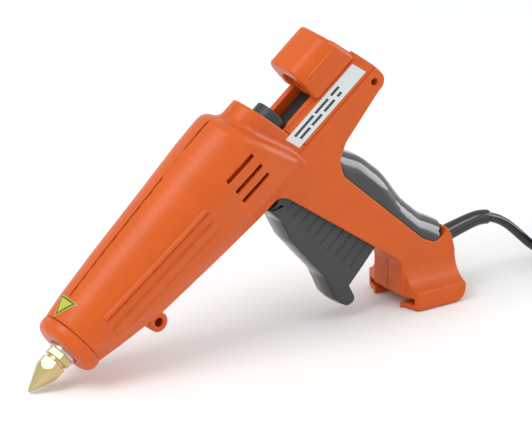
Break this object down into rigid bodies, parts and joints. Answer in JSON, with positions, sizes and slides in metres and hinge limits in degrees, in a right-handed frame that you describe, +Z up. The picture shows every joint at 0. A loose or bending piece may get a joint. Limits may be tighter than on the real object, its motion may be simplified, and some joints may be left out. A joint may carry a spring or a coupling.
{
  "type": "glue gun",
  "caption": "Hand-held industrial hot melt glue gun with a tilted barrel, brass nozzle, sliding stick carriage, full-length trigger, slotted foot and mains lead.",
  "frame": {"origin": "middle of the gun's bounding box on the surface it stands on, lead and plug left out", "axes": "+Z up, nozzle towards -X, +Y towards the gun's right side; the barrel points 38 degrees down"},
  "size_m": [0.5115, 0.1025, 0.2074],
  "materials": {
    "orange_housing": "fine satin moulded texture",
    "grip_rubber": "glossy moulded rubber",
    "black_plastic": "matte",
    "trigger_plastic": "satin",
    "pad_gloss": "gloss",
    "ptfe": "waxy white",
    "cast_aluminium": "as cast",
    "brass": "machined",
    "bright_steel": "bright",
    "dark_steel": "blackened",
    "insulator": "matte phenolic",
    "wire_red": "silicone insulated",
    "cord_rubber": "semi gloss",
    "label_grey": "satin film",
    "label_yellow": "satin film"
  },
  "bodies": {
    "gun": {"housing_left": "orange_housing", "housing_right": "orange_housing", "nose_cap": "orange_housing", "feed_rail": "orange_housing", "grip_insert": "grip_rubber", "inlet_collar": "black_plastic", "inlet_sleeve": "ptfe", "melt_chamber": "cast_aluminium", "nozzle": "brass", "nozzle_washer": "bright_steel", "heater_cartridges": "bright_steel", "thermostat": "black_plastic", "thermal_fuse": "insulator", "front_support": "insulator", "rear_support": "insulator", "pivot_pin": "bright_steel", "return_spring": "bright_steel", "housing_screws": "bright_steel", "terminal_block": "insulator", "lead_wires": "wire_red", "cord_clamp": "black_plastic", "strain_relief": "cord_rubber", "power_cord": "cord_rubber", "cord_coil": "cord_rubber", "cord_tail": "cord_rubber", "cord_tie": "black_plastic", "plug": "cord_rubber", "plug_pins": "brass", "data_label": "label_grey", "heat_label": "label_yellow"},
    "trigger": {"trigger_blade": "trigger_plastic", "trigger_pad": "pad_gloss", "drive_pin": "bright_steel"},
    "carriage": {"drawbar": "dark_steel", "carriage_cap": "orange_housing", "carriage_screws": "bright_steel", "jaw_pin": "bright_steel"},
    "jaw": {"stick_jaw": "dark_steel"}
  },
  "joints": [
    {"name": "trigger_squeeze", "type": "hinge", "parent": "gun", "child": "trigger", "pos_m": [0.03588, 0, 0.09984], "axis": [0, -1, 0], "range_deg": [0, 14], "stiffness_Nm_per_rad": 0.8, "springref_deg": -28.65},
    {"name": "carriage_slide", "type": "slide", "parent": "gun", "child": "carriage", "axis": [-0.788, 0, -0.6157], "range_m": [0, 0.00732]},
    {"name": "jaw_tilt", "type": "hinge", "parent": "carriage", "child": "jaw", "pos_m": [0.07622, 0, 0.17653], "axis": [0, 1, 0], "range_deg": [0, 5]}
  ],
  "couplings": [
    {"joint": "carriage_slide", "follows": "trigger_squeeze", "m_per_rad": 0.029925},
    {"joint": "jaw_tilt", "follows": "trigger_squeeze", "ratio": 0.35}
  ]
}
